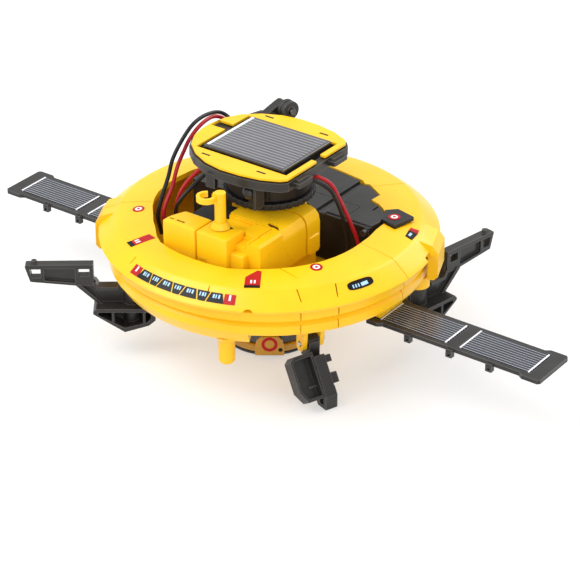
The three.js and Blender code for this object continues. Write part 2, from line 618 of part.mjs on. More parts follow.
function legInPlace() {
  const slope = new THREE.Matrix4().makeRotationY(radians(LEG_SLOPE));
  const sloped = moved(legBody(), slope.setPosition(0, 0, LEG_PIVOT.z));
  const neck = block(-2.4, 3.6, LEG_PIVOT.across - 2.7, LEG_PIVOT.across + 2.3, LEG_PIVOT.z - 6.4, LEG_PIVOT.z + 1);
  const neckRoom = bar([0, -5, LEG_PIVOT.z], [0, 12, LEG_PIVOT.z], 1.35, 16);
  const trimmed = sloped.add(neck.subtract(neckRoom)).intersect(block(-20, FOOT_REACH, -30, 30, 0, 60));
  const recess = block(12.2, 14.8, 0, 2.2, 1.6, 6);
  return placed(cut(trimmed, recess), LEG_PIVOT.heading, LEG_PIVOT.x, LEG_PIVOT.y);
}
add("leg", legInPlace(), GREY);
const legPin = join(
  bar([0, -1.1, LEG_PIVOT.z], [0, 10.2, LEG_PIVOT.z], 1, 16),
  bar([0, 9.8, LEG_PIVOT.z], [0, 10.6, LEG_PIVOT.z], 1.7, 16),
);
add("leg_pin", placed(legPin, LEG_PIVOT.heading, LEG_PIVOT.x, LEG_PIVOT.y), STEEL);

// ---- arms: a lattice tip, a sloping neck and an open trough on a vertical pin ----
// Built with the pin at the origin, pointing along +X; heights are above the ground.
function armBody() {
  const tip = slab([[15.4, 40.4], [43, 40.4], [43.4, 39.6], [41.4, 32.6], [22, 30.6], [15.4, 30.6]], -2, 2);
  const windows = [
    slab([[17, 35], [21.6, 35], [21.6, 38.4], [17, 38.4]], -9, 9),
    slab([[37, 34.4], [40.8, 34.4], [41.6, 38.4], [37, 38.4]], -9, 9),
  ];
  const panels = [
    slab([[23, 32], [35.6, 33.2], [35.6, 38.6], [23, 38.6]], 0.5, 9),
    slab([[23, 32], [35.6, 33.2], [35.6, 38.6], [23, 38.6]], -9, -0.5),
  ];
  const neck = join(
    slab([[-5, 21], [12.4, 21], [22.4, 31], [15.4, 34], [13.4, 30], [-5, 30]], -0.9, 0.9),
    slab([[10.4, 21], [12.8, 21.4], [22.8, 31], [21, 31.6]], -2.6, 2.6),
    slab([[5.6, 28.7], [14, 28.7], [16, 32], [14.6, 32.4], [13.2, 30], [5.6, 30]], -2.6, 2.6),
  );
  const boxOutline = [[-9.4, 22.4], [14.6, 22.6], [15.8, 21.4], [15.8, 20.2], [3, 11.6], [-7, 14.6],
    [-9.8, 17]];
  const boxRoom = [[-7.8, 20.8], [13.4, 21], [14, 19.8], [3, 13.6], [-6.2, 16], [-8, 18]];
  const box = cut(slab(boxOutline, -7.6, 7.6), slab(boxRoom, 0.6, 9), slab(boxRoom, -9, -0.6));
  const ribs = join(block(7.2, 8.2, -7.2, 7.2, 15.4, 21.6), block(-5.6, -4.6, -7.2, 7.2, 15, 21.6));
  const hub = post(3.9, 13.4, 30.1, 0, 0, 16);
  const stud = post(1.2, 40.2, 41.8, 39.6, 0, 10);
  return cut(join(tip, neck, box, ribs, hub, stud), post(1.95, 0, 50, 0, 0, 16),
    post(3.3, 0, 15, 0, 0, 16), ...windows, ...panels);
}
const armShape = armBody();
for (const [side, at] of Object.entries(ARM_PIVOTS)) {
  add("arm_" + side, placed(armShape, at.heading, at.x, at.y), GREY);
  const head = post(2.9, 12, 14.6, at.x, at.y, 16);
  add("arm_pin_" + side, post(1.6, 12.8, 34.6, at.x, at.y, 16).add(head), STEEL);
}

// ---- hook post on the gearbox ----
function hookPost() {
  const stem = join(
    post(2, 61, 69.6, 0, 0, 16),
    post(4, 68.6, 71, 0, 0, 20, 2.6),
    post(2.3, 69.6, 83.8, 0, 0, 18),
  );
  const loop = cut(post(4.1, 80.6, 82.8, -5.4, 0, 22), post(2.7, 80, 90, -5.4, 0, 20),
    block(-4.6, -2.6, 1.4, 9, 80, 90));
  return join(stem, loop, block(-2.6, 0, -1.6, 0.4, 79.4, 82.6));
}
add("hook_post", placed(hookPost(), 42, HOOK_POST.x, HOOK_POST.y), YELLOW);

// ---- turntable, drum and panel ----
function toothedRing() {
  const points = [];
  const step = 360 / RING_TEETH;
  for (let i = 0; i < RING_TEETH; i += 1) {
    const root = RING_RADIUS - 0.55;
    const tooth = [[0, RING_RADIUS], [0.6, RING_RADIUS], [0.68, root], [0.92, root]];
    for (const [share, radius] of tooth) {
      const angle = radians(step * (i + share));
      points.push([radius * Math.cos(angle), radius * Math.sin(angle)]);
    }
  }
  return cut(prism(points, RING_Z, RING_Z + 2.6), post(8.4, 60, 90, 0, 0, 20));
}
add("turntable_ring", toothedRing(), GREY);
function turntableDrum() {
  const drum = join(
    post(DRUM_RADIUS, RING_Z + 2.9, FRAME_Z - GAP, 0, 0, 36),
    post(8, RING_Z + 0.4, RING_Z + 4.2, 0, 0, 20),
    post(4, 62, RING_Z + 1, 0, 0, 20),
    block(9.6, 10.6, -15.6, -12, 72, FRAME_Z - GAP),
  );
  return drum.subtract(post(DRUM_RADIUS - 2, RING_Z + 6, 110, 0, 0, 24));
}
add("turntable_drum", turntableDrum(), BLACK);

// Outline of the panel about the turntable axis: straight at +X, bulged sides, round at -X.
function panelOutline(inset) {
  const half = [[24.6, 20.5], [22.4, 23], [15, 26.4], [6, 28.2], [-4, 28.6], [-13, 26.8], [-21, 23],
    [-27.6, 17.4], [-31.4, 10.4], [-32.8, 3.5]];
  const corners = [...half, ...half.map(([x, y]) => [x, -y]).reverse()];
  return corners.map(([x, y]) => {
    const reach = Math.hypot(x, y);
    return [x * (1 - inset / reach), y * (1 - inset / reach)];
  });
}
const CELL_BOX = { x0: -21, x1: 19.4, y0: -16.6, y1: 16.6 };
const BALL = { x: 7.7, y: -23.6, z: 78.4 };
function panelFrame() {
  const outer = prism(panelOutline(0), FRAME_Z, PLATE_Z);
  const under = prism(panelOutline(2.2), FRAME_Z - 5, PLATE_Z - 1.8);
  const floor = post(DRUM_RADIUS + 1.6, FRAME_Z, PLATE_Z - 1, 0, 0, 28);
  const recess = block(CELL_BOX.x0 - 1.6, CELL_BOX.x1 + 1.8, -17.4, 17.4, PLATE_Z - 1.2, 120);
  const clips = [-17.4, 6.6].map((y) => join(
    prism(rounded(23.4, 27.8, y, y + 9.4, 0.8, 2), FRAME_Z + 0.8, PLATE_Z - 1),
    prism([[23.4, y + 1.6], [26.6, y + 1.6], [26.6, y + 7.8], [23.4, y + 7.8]], FRAME_Z + 0.6, PLATE_Z - 0.4),
  ));
  const frontTab = block(-10.7, -6.2, -28.4, -26.2, 77.6, FRAME_Z + 1.4);
  const ballArm = join(
    block(BALL.x - 2.2, BALL.x + 3.4, -21.2, -19.6, 71, PLATE_Z - 1.4),
    block(BALL.x + 3.2, BALL.x + 4.2, -25.4, -19.6, 72, PLATE_Z - 1.4),
    bar([BALL.x, BALL.y + 1, BALL.z], [BALL.x, -20.6, BALL.z], 1.3, 12),
  );
  const hinge = CASTER_HINGE;
  const atHinge = (body) => placed(body, hinge.heading, hinge.x, hinge.y, hinge.z);
  const rearMount = atHinge(block(-5.4, 2.2, -3.8, 3.8, -2.3, 2.5));
  const yokeSlot = atHinge(block(-2.8, 9, -2.35, 2.35, -9, 9));
  const hingeBore = atHinge(bar([0, -9, 0], [0, 9, 0], 1.05, 12));
  const body = join(outer.subtract(under), floor, ...clips, frontTab, ballArm, rearMount);
  return cut(body, recess, yokeSlot, hingeBore, post(DRUM_RADIUS - 2, FRAME_Z - 2, PLATE_Z - 2.6, 0, 0, 20),
    solid(new THREE.SphereGeometry(3.15, 16, 10).translate(BALL.x, BALL.y, BALL.z)));
}
add("panel_frame", panelFrame(), GREY);
add("ball_stud", solid(new THREE.SphereGeometry(2.9, 16, 10).translate(BALL.x, BALL.y, BALL.z)), STEEL);
function panelPlate() {
  let plate = prism(panelOutline(0.9), PLATE_Z + 0.3, PLATE_Z + 1.5);
  plate = plate.subtract(block(CELL_BOX.x0 - 2.6, CELL_BOX.x1 + 2, -17.7, 17.7, 70, 120));
  for (const [x0, x1, y0, y1] of [[-30.8, -23, 1.6, 7.2], [20, 24, -0.4, 5.4]]) {
    plate = plate.subtract(block(x0, x1, y0, y1, 70, 120));
  }
  for (const [x, y] of [[-15.9, 21.6], [11.8, 21.6], [-15.9, -21.4], [11.8, -21.4]]) {
    plate = plate.subtract(block(x - 2.2, x + 2.2, y - 0.55, y + 0.55, 70, 120));
  }
  return plate;
}
add("panel_plate", panelPlate(), YELLOW);
const cell = lid(CELL_BOX.x0, CELL_BOX.x1, CELL_BOX.y0, CELL_BOX.y1, PLATE_Z - 0.9, PLATE_Z + 2.6, 0.9);
add("solar_cell", cell, CELL);

// ---- tail caster behind the panel ----
// Built round the hinge at the origin with the arm along +X and the wheel axle along Y.
function casterArm() {
  const knuckle = bar([0, -2, 0], [0, 2, 0], 2.4, 16);
  const arm = slab([[0, -2.2], [9.6, 1], [11.6, 5], [9.8, 6.6], [7.4, 5.8], [-1.8, 1.6]], -2, 2);
  const fork = join(bar([CASTER_REACH, -2, CASTER_RISE], [CASTER_REACH, 2, CASTER_RISE], 2.7, 16), arm);
  return cut(join(knuckle, fork), bar([0, -4, 0], [0, 4, 0], 1.3, 12),
    bar([CASTER_REACH, -9, CASTER_RISE], [CASTER_REACH, 9, CASTER_RISE], 1.2, 12));
}
const hingeAt = [CASTER_HINGE.x, CASTER_HINGE.y, CASTER_HINGE.z];
add("caster_arm", placed(casterArm(), CASTER_HINGE.heading, ...hingeAt), GREY);
function wheelAt(radius, half, sides, bore) {
  const tyre = join(bar([0, -half, 0], [0, half, 0], radius, sides),
    bar([0, -half - 0.6, 0], [0, half + 0.6, 0], radius * 0.5, sides));
  const groove = bar([0, -0.35, 0], [0, 0.35, 0], radius + 1, sides)
    .subtract(bar([0, -1, 0], [0, 1, 0], radius - 0.6, sides));
  return cut(tyre, bar([0, -9, 0], [0, 9, 0], bore, 12), groove);
}
const casterPoint = (along, across, up) => {
  const angle = radians(CASTER_HINGE.heading);
  return [CASTER_HINGE.x + along * Math.cos(angle) - across * Math.sin(angle),
    CASTER_HINGE.y + along * Math.sin(angle) + across * Math.cos(angle), CASTER_HINGE.z + up];
};
const wheelCentre = casterPoint(CASTER_REACH, -4.9, CASTER_RISE);
add("caster_wheel", placed(wheelAt(4.2, 2, 22, 1.2), CASTER_HINGE.heading, ...wheelCentre), GREY);
add("caster_axle", join(
  bar(casterPoint(CASTER_REACH, 2.6, CASTER_RISE), casterPoint(CASTER_REACH, -7.9, CASTER_RISE), 0.9, 12),
  bar(casterPoint(CASTER_REACH, -7.7, CASTER_RISE), casterPoint(CASTER_REACH, -8.6, CASTER_RISE), 1.6, 16),
), STEEL);
add("caster_hinge_pin", bar(casterPoint(0, -3.6, 0), casterPoint(0, 3.6, 0), 0.75, 12), STEEL);

// ---- wires from the panel down into the hull ----
const WIRES = {
  wire_back_black: [[-22, 6, 83.1], [-25.5, 12, 81.2], [-30.4, 17.4, 80.8], [-36.1, 18.5, 84],
    [-38.4, 14.2, 86.4], [-38.2, 4, 87.8], [-37.5, -5.4, 85.9], [-37.8, -14.8, 77.8], [-38.2, -18.4, 69.4], [-38.2, -23.2, 61.4],
    [-38.4, -25.4, 54], [-37.4, -24.6, 46]],
  wire_back_red: [[-22, 2.4, 83.1], [-26, 8.4, 81.2], [-30, 13.8, 80.6], [-34.6, 15.6, 83.6],
    [-36.9, 11, 86], [-36.6, 2.4, 86], [-36.3, -5.4, 83], [-36.9, -9.8, 77.6], [-36.1, -15, 73], [-36.1, -18.6, 65.4], [-35.8, -23.8, 59.4],
    [-35.4, -25.4, 54], [-34.4, -24.6, 46]],
  wire_side_red: [[-15.2, -13.6, 81], [-18, -16.4, 80.6], [-22.4, -19, 76.8], [-26.4, -20.6, 71.6],
    [-29.8, -21.4, 65.4], [-31.7, -21.6, 59], [-32.2, -20.6, 51], [-32.2, -19.6, 44]],
  wire_side_black: [[-12.4, -17.2, 81], [-14.4, -20.4, 80.4], [-17.4, -23.4, 77], [-21.4, -25.3, 71.6],
    [-25.8, -25.4, 66], [-29.2, -24.6, 60.4], [-30.6, -23.8, 52], [-30.6, -23, 44]],
  wire_front_red: [[21.6, -2, 81], [25.6, -0.6, 80.9], [29.5, 2, 77.7], [32.1, 4, 71.2], [34.2, 6, 64.5],
    [36, 7.5, 58.6], [38, 9, 51.3], [38.6, 9.4, 44]],
  wire_front_black: [[22, -5.4, 81], [26.4, -3.4, 80.4], [30.4, -0.2, 76.6], [32.4, 1.6, 71.6],
    [33.7, 3.3, 65.4], [34.2, 4.9, 59.1], [34.8, 6, 52.9], [34.6, 6.6, 44]],
};
function wire(path) {
  const curve = new THREE.CatmullRomCurve3(path.map(([x, y, z]) => new THREE.Vector3(x, y, z)));
  const ring = new THREE.Shape();
  for (let i = 0; i < 8; i += 1) {
    const angle = (i * Math.PI) / 4;
    ring[i ? "lineTo" : "moveTo"](WIRE_RADIUS * Math.cos(angle), WIRE_RADIUS * Math.sin(angle));
  }
  const steps = path.length * 2;
  return solid(new THREE.ExtrudeGeometry(ring, { steps, extrudePath: curve, curveSegments: 1 }));
}
for (const [name, path] of Object.entries(WIRES)) {
  add(name, wire(path), name.endsWith("red") ? RED_WIRE : BLACK_WIRE);
}

export default station;
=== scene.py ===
"""Looks for the solar disc station: materials, printed stickers, wires, lights and the camera."""
import json
import math

import bpy
import numpy as np
from mathutils import Matrix, Vector


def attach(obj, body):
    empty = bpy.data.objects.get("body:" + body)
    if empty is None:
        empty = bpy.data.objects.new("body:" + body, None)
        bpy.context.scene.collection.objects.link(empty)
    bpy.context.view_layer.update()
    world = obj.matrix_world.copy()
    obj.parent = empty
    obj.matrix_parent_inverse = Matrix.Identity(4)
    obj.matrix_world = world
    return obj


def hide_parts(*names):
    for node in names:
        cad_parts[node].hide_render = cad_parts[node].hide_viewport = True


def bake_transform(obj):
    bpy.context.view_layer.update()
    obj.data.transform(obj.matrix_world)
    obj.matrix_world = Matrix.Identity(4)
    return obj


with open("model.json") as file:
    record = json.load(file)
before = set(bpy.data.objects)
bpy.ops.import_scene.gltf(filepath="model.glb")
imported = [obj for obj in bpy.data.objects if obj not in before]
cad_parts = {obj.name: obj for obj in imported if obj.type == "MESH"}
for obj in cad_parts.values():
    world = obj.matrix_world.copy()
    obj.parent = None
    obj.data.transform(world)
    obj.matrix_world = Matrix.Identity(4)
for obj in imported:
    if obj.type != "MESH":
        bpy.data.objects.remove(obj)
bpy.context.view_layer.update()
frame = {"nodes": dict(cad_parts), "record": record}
NODES = frame["nodes"]
MM = 0.001

# ---- facts repeated from the CAD, in millimetres ----
CELL = ((-21.0, 19.4), (-16.6, 16.6))  # the turret's solar cell: its X and Y extent
BAND = ((69.4, 51.3), (63.7, 55.9))  # the sloping band: low edge and high edge, as radius and height
DECK = ((62.2, 56.55), (54.0, 57.7), (36.0, 59.1))
WIRE_RADIUS = 0.85
WIRES = {
    "back_black": [(-22, 6, 83.1), (-25.5, 12, 81.2), (-30.4, 17.4, 80.8), (-36.1, 18.5, 84),
                   (-38.4, 14.2, 86.4), (-38.2, 4, 87.8), (-37.5, -5.4, 85.9), (-37.8, -14.8, 77.8),
                   (-38.2, -18.4, 69.4), (-38.2, -23.2, 61.4), (-38.4, -25.4, 54), (-37.4, -24.6, 46)],
    "back_red": [(-22, 2.4, 83.1), (-26, 8.4, 81.2), (-30, 13.8, 80.6), (-34.6, 15.6, 83.6),
                 (-36.9, 11, 86), (-36.6, 2.4, 86), (-36.3, -5.4, 83), (-36.9, -9.8, 77.6),
                 (-36.1, -15, 73), (-36.1, -18.6, 65.4), (-35.8, -23.8, 59.4), (-35.4, -25.4, 54),
                 (-34.4, -24.6, 46)],
    "side_red": [(-15.2, -13.6, 81), (-18, -16.4, 80.6), (-22.4, -19, 76.8), (-26.4, -20.6, 71.6),
                 (-29.8, -21.4, 65.4), (-31.7, -21.6, 59), (-32.2, -20.6, 51), (-32.2, -19.6, 44)],
    "side_black": [(-12.4, -17.2, 81), (-14.4, -20.4, 80.4), (-17.4, -23.4, 77), (-21.4, -25.3, 71.6),
                   (-25.8, -25.4, 66), (-29.2, -24.6, 60.4), (-30.6, -23.8, 52), (-30.6, -23, 44)],
    "front_red": [(21.6, -2, 81), (25.6, -0.6, 80.9), (29.5, 2, 77.7), (32.1, 4, 71.2), (34.2, 6, 64.5),
                  (36, 7.5, 58.6), (38, 9, 51.3), (38.6, 9.4, 44)],
    "front_black": [(22, -5.4, 81), (26.4, -3.4, 80.4), (30.4, -0.2, 76.6), (32.4, 1.6, 71.6),
                    (33.7, 3.3, 65.4), (34.2, 4.9, 59.1), (34.8, 6, 52.9), (34.6, 6.6, 44)],
}


# ---- camera: a long lens, so the perspective is weak ----
VIEW_AZIMUTH, VIEW_ELEVATION = 36.07, 29.58  # degrees
VIEW_DISTANCE = 992 * MM
AIM_HEIGHT = 31 * MM
AIM_RIGHT, AIM_UP = 8.42 * MM, -9.30 * MM  # how far the middle of the picture lies from the hull's axis
SENSOR_WIDTH = 36
FOCAL_LENGTH = 147.786  # in the sensor's millimetres


def make_camera():
    azimuth, elevation = math.radians(VIEW_AZIMUTH), math.radians(VIEW_ELEVATION)
    back = Vector((math.sin(azimuth) * math.cos(elevation), -math.cos(azimuth) * math.cos(elevation),
                   math.sin(elevation)))
    right = Vector((math.cos(azimuth), math.sin(azimuth), 0))
    up = back.cross(right)
    aim = Vector((0, 0, AIM_HEIGHT)) + right * AIM_RIGHT + up * AIM_UP
    data = bpy.data.cameras.new("camera")
    data.sensor_width = SENSOR_WIDTH
    data.lens = FOCAL_LENGTH
    data.clip_end = 20
    camera = bpy.data.objects.new("camera", data)
    bpy.context.scene.collection.objects.link(camera)
    camera.matrix_world = Matrix((right, up, back)).transposed().to_4x4()
    camera.location = aim + back * VIEW_DISTANCE
    bpy.context.scene.camera = camera


make_camera()


# ---- materials ----
def new_material(name):
    mat = bpy.data.materials.new(name)
    mat.use_nodes = True
    tree = mat.node_tree
    shader = tree.nodes["Principled BSDF"]
    return mat, tree, shader


def add_node(tree, kind, **values):
    node = tree.nodes.new(kind)
    for key, value in values.items():
        if key in node.inputs:
            node.inputs[key].default_value = value
        else:
            setattr(node, key, value)
    return node


def coords(tree):
    return add_node(tree, "ShaderNodeTexCoord").outputs["Object"]


def noise(tree, scale, detail=3.0, roughness=0.5):
    node = add_node(tree, "ShaderNodeTexNoise", Scale=scale, Detail=detail, Roughness=roughness)
    tree.links.new(coords(tree), node.inputs["Vector"])
    return node.outputs["Fac"]


def ramp(tree, fac, stops):
    node = add_node(tree, "ShaderNodeValToRGB")
    tree.links.new(fac, node.inputs["Fac"])
    elements = node.color_ramp.elements
    while len(elements) < len(stops):
        elements.new(0.5)
    for element, (place, colour) in zip(elements, stops):
        element.position = place
        element.color = (*colour, 1) if len(colour) == 3 else colour
    return node.outputs["Color"]


def math_node(tree, operation, a, b=None):
    node = add_node(tree, "ShaderNodeMath", operation=operation)
    for i, value in enumerate((a, b)):
        if value is None:
            continue
        if isinstance(value, (int, float)):
            node.inputs[i].default_value = value
        else:
            tree.links.new(value, node.inputs[i])
    return node.outputs[0]


def moulded(name, low, high, rough=(0.3, 0.4), grain=0.02, coat=0.0, edge_highlight=0.0, specular=0.5):
    """Moulded plastic: slight colour flow, satin grain and, at the edges, a painted paler highlight."""
    mat, tree, shader = new_material(name)
    base = ramp(tree, noise(tree, 55, 4), [(0.35, low), (0.65, high)])
    # painted highlight: near the edges the colour is mixed towards a much paler one, in place of the shine
    # along them
    if edge_highlight:
        bevel = add_node(tree, "ShaderNodeBevel", samples=4, Radius=0.0006)
        geometry = add_node(tree, "ShaderNodeNewGeometry")
        dot = add_node(tree, "ShaderNodeVectorMath", operation="DOT_PRODUCT")
        tree.links.new(bevel.outputs[0], dot.inputs[0])
        tree.links.new(geometry.outputs["Normal"], dot.inputs[1])
        edge = math_node(tree, "SUBTRACT", 1.0, dot.outputs["Value"])
        edge = math_node(tree, "MULTIPLY", edge, 6.0)
        edge = math_node(tree, "MINIMUM", edge, 1.0)
        edge = math_node(tree, "MULTIPLY", edge, edge_highlight)
        mix = add_node(tree, "ShaderNodeMix", data_type="RGBA")
        tree.links.new(edge, mix.inputs["Factor"])
        tree.links.new(base, mix.inputs[6])
        # the painted highlight's colour: the light tone lifted well above the plastic's own
        mix.inputs[7].default_value = tuple(min(1, c * 2.6 + 0.10) for c in high) + (1,)
        base = mix.outputs[2]
    tree.links.new(base, shader.inputs["Base Color"])
    tree.links.new(ramp(tree, noise(tree, 240, 5), [(0.3, (rough[0],) * 3), (0.7, (rough[1],) * 3)]),
                   shader.inputs["Roughness"])
    bump = add_node(tree, "ShaderNodeBump", Strength=grain * 10, Distance=0.00006)
    tree.links.new(noise(tree, 2600, 4, 0.6), bump.inputs["Height"])
    tree.links.new(bump.outputs[0], shader.inputs["Normal"])
    shader.inputs["Coat Weight"].default_value = coat
    shader.inputs["Coat Roughness"].default_value = 0.12
    shader.inputs["Specular IOR Level"].default_value = specular
    return mat


def metal(name, low, high, rough=(0.22, 0.36)):
    mat, tree, shader = new_material(name)
    streak = add_node(tree, "ShaderNodeTexNoise", Scale=900.0, Detail=4.0)
    mapping = add_node(tree, "ShaderNodeMapping")
    mapping.inputs["Scale"].default_value = (1, 1, 0.06)
    tree.links.new(coords(tree), mapping.inputs["Vector"])
    tree.links.new(mapping.outputs[0], streak.inputs["Vector"])
    tree.links.new(ramp(tree, streak.outputs["Fac"], [(0.3, low), (0.7, high)]), shader.inputs["Base Color"])
    tree.links.new(ramp(tree, streak.outputs["Fac"], [(0.3, (rough[0],) * 3), (0.7, (rough[1],) * 3)]),
                   shader.inputs["Roughness"])
    shader.inputs["Metallic"].default_value = 1.0
    return mat


def stripes(tree, axis, start, pitch, share):
    """1 on a stripe and 0 between, along one object axis, in metres; share is how wide each stripe is."""
    split = add_node(tree, "ShaderNodeSeparateXYZ")
    tree.links.new(coords(tree), split.inputs[0])
    along = math_node(tree, "SUBTRACT", split.outputs[axis], start)
    along = math_node(tree, "DIVIDE", along, pitch)
    along = math_node(tree, "FRACT", along)
    return math_node(tree, "LESS_THAN", along, share)


def between(tree, axis, low, high):
    """1 where the object axis lies between low and high, in metres, and 0 elsewhere."""
    split = add_node(tree, "ShaderNodeSeparateXYZ")
    tree.links.new(coords(tree), split.inputs[0])
    above = math_node(tree, "GREATER_THAN", split.outputs[axis], low)
    below = math_node(tree, "LESS_THAN", split.outputs[axis], high)
    return math_node(tree, "MULTIPLY", above, below)


def mixed(tree, fac, a, b):
    """Colour a where fac is 0 and b where it is 1; a and b are colours or sockets."""
    mix = add_node(tree, "ShaderNodeMix", data_type="RGBA")
    tree.links.new(fac, mix.inputs["Factor"])
    for slot, value in ((6, a), (7, b)):
        if isinstance(value, tuple):
            mix.inputs[slot].default_value = (*value, 1)
        else:
            tree.links.new(value, mix.inputs[slot])
    return mix.outputs[2]


def wing_cell_material():
    mat, tree, shader = new_material("wing_cell_face")
    ground = ramp(tree, noise(tree, 90, 5), [(0.3, (0.013, 0.014, 0.02)), (0.7, (0.03, 0.032, 0.042))])
    lines = stripes(tree, 1, -0.0078, 0.00158, 0.2)
    colour = mixed(tree, lines, ground, (0.33, 0.35, 0.4))
    for low, high in ((0.0613, 0.0620), (0.0918, 0.0925), (0.0987, 0.0994), (0.1299, 0.1306)):
        for side in (1, -1):
            ends = between(tree, 0, min(side * low, side * high), max(side * low, side * high))
            colour = mixed(tree, ends, colour, (0.86, 0.87, 0.9))
    tree.links.new(colour, shader.inputs["Base Color"])
    shader.inputs["Roughness"].default_value = 0.26
    shader.inputs["Specular IOR Level"].default_value = 0.35
    shader.inputs["Coat Weight"].default_value = 0.15
    shader.inputs["Coat Roughness"].default_value = 0.06
    return mat


def solar_cell_material():
    mat, tree, shader = new_material("solar_cell_face")
    (x0, x1), (y0, y1) = ((low * MM, high * MM) for low, high in CELL)
    ground = ramp(tree, noise(tree, 70, 6), [(0.3, (0.035, 0.034, 0.042)), (0.7, (0.075, 0.074, 0.086))])
    lines = stripes(tree, 1, y0 + 0.0016, 0.00205, 0.26)
    colour = mixed(tree, lines, ground, (0.23, 0.23, 0.25))
    fine = stripes(tree, 1, y0 + 0.0026, 0.00205, 0.14)
    colour = mixed(tree, fine, colour, (0.012, 0.012, 0.016))
    bar = between(tree, 0, x0 + 0.0009, x0 + 0.0022)
    colour = mixed(tree, bar, colour, (0.85, 0.86, 0.88))
    inside = math_node(tree, "MULTIPLY", between(tree, 0, x0 + 0.0008, x1 - 0.0012),
                       between(tree, 1, y0 + 0.0012, y1 - 0.0012))
    colour = mixed(tree, inside, (0.012, 0.012, 0.014), colour)
    tree.links.new(colour, shader.inputs["Base Color"])
    shader.inputs["Roughness"].default_value = 0.3
    shader.inputs["Coat Weight"].default_value = 1.0
    shader.inputs["Coat Roughness"].default_value = 0.04
    return mat


def print_and_shade_material(name, colour, rough=0.32):
    """Ink on a glossy sticker, with a faint unevenness; the same recipe gives the brown of the painted shade.
    """
    mat, tree, shader = new_material(name)
    darker = tuple(c * 0.86 for c in colour)
    uneven = ramp(tree, noise(tree, 400, 4), [(0.3, darker), (0.7, colour)])
    tree.links.new(uneven, shader.inputs["Base Color"])
    shader.inputs["Roughness"].default_value = rough
    shader.inputs["Specular IOR Level"].default_value = 0.2
    return mat


MATERIALS = {
    "yellow_plastic": moulded("yellow_moulding", (0.90, 0.500, 0.004), (0.94, 0.540, 0.005),
                              (0.27, 0.36), 0.02, coat=0.05, specular=0.36),
    # the grey and black mouldings get a painted paler highlight along their edges
    "grey_plastic": moulded("grey_moulding", (0.014, 0.013, 0.012), (0.026, 0.025, 0.024),
                            (0.28, 0.40), 0.035, edge_highlight=0.55, specular=0.4),
    "smoke_plastic": moulded("smoke_moulding", (0.018, 0.016, 0.015), (0.030, 0.027, 0.025),
                             (0.12, 0.2), 0.01, coat=0.6),
    "black_plastic": moulded("black_moulding", (0.008, 0.008, 0.008), (0.016, 0.016, 0.017),
                             (0.3, 0.42), 0.03, edge_highlight=0.2, specular=0.35),
    "amber_plastic": moulded("amber_moulding", (0.42, 0.20, 0.006), (0.52, 0.26, 0.010),
                             (0.2, 0.3), 0.02, coat=0.4),
    "white_plastic": moulded("nylon", (0.74, 0.72, 0.66), (0.82, 0.80, 0.75), (0.4, 0.55), 0.03),
    "steel": metal("turned_steel", (0.46, 0.47, 0.49), (0.62, 0.63, 0.65)),
    "brass": metal("turned_brass", (0.62, 0.44, 0.17), (0.78, 0.58, 0.26)),
    "wing_cell": wing_cell_material(),
    "solar_cell": solar_cell_material(),
    "red_wire": moulded("red_insulation", (0.36, 0.006, 0.014), (0.46, 0.009, 0.02),
                        (0.3, 0.42), 0.03, specular=0.35),
    "black_wire": moulded("black_insulation", (0.006, 0.006, 0.007), (0.014, 0.014, 0.015),
                          (0.3, 0.42), 0.03, specular=0.3),
}
DARK_STEEL = metal("blackened_steel", (0.07, 0.07, 0.075), (0.13, 0.13, 0.14))
# printed inks; the black is also laid as painted shade in the panel slots and the badge hole, and the brown
# only as painted shade
INK_AND_PAINTED_SHADE = {
    "red": print_and_shade_material("red_ink", (0.46, 0.008, 0.012)),
    "white": print_and_shade_material("white_ink", (0.88, 0.88, 0.88)),
    "black": print_and_shade_material("black_ink", (0.005, 0.005, 0.006)),
    "blue": print_and_shade_material("pale_blue_ink", (0.42, 0.66, 0.86)),
    # painted shade: a dark brown for the shadowed notches of the gearbox blocks
    "brown": print_and_shade_material("shadow_brown", (0.10, 0.042, 0.006), 0.6),
}

# ---- the CAD pieces: material, softened edges and smooth shading ----
NODE_SLOT = {row["node"]: row["material_slot"] for row in frame["record"]["subparts"]}
EDGE_ROUND = {  # millimetres, by the start of the node's name; the first that fits counts
    "hull_": 0.55, "gearbox_front": 0.4, "gearbox_rear": 0.6, "arm_": 0.4, "leg": 0.45, "wing_left": 0.3,
    "wing_right": 0.3, "panel_frame": 0.4, "panel_plate": 0.2, "hook_post": 0.5, "turntable_ring": 0.25,
    "motor_housing": 0.5, "inner_deck": 0.35, "helmet": 0.35, "caster": 0.3, "solar_cell": 0.3,
    "deck_badge": 0.3, "turntable_drum": 0.4,
}
OTHER_EDGES = 0.15


def soften(obj, width):
    """Merges the solid's flat facets and rounds the sharp edges between them."""
    for polygon in obj.data.polygons:
        polygon.use_smooth = True
    weld = obj.modifiers.new("weld", "WELD")
    weld.merge_threshold = 0.000004
    flat = obj.modifiers.new("flat", "DECIMATE")
    flat.decimate_type = "DISSOLVE"
    flat.angle_limit = math.radians(0.6)
    bevel = obj.modifiers.new("bevel", "BEVEL")
    bevel.width = width * MM
    bevel.segments = 2
    bevel.limit_method = "ANGLE"
    bevel.angle_limit = math.radians(32)
    bevel.use_clamp_overlap = True
    normals = obj.modifiers.new("normals", "WEIGHTED_NORMAL")
    normals.keep_sharp = True
    normals.weight = 60


for name, obj in NODES.items():
    obj.data.materials.clear()
    obj.data.materials.append(DARK_STEEL if name == "caster_axle" else MATERIALS[NODE_SLOT[name]])
    if name.startswith("wire_"):
        continue
    width = next((w for key, w in EDGE_ROUND.items() if name.startswith(key)), OTHER_EDGES)
    soften(obj, width)


# ---- mesh helpers ----
def mesh_object(name, points, faces, material, smooth=False):
    data = bpy.data.meshes.new(name)
    data.from_pydata([tuple(p) for p in points], [], faces)
    data.update()
    for polygon in data.polygons:
        polygon.use_smooth = smooth
    data.materials.append(material)
    obj = bpy.data.objects.new(name, data)
    bpy.context.scene.collection.objects.link(obj)
    return obj


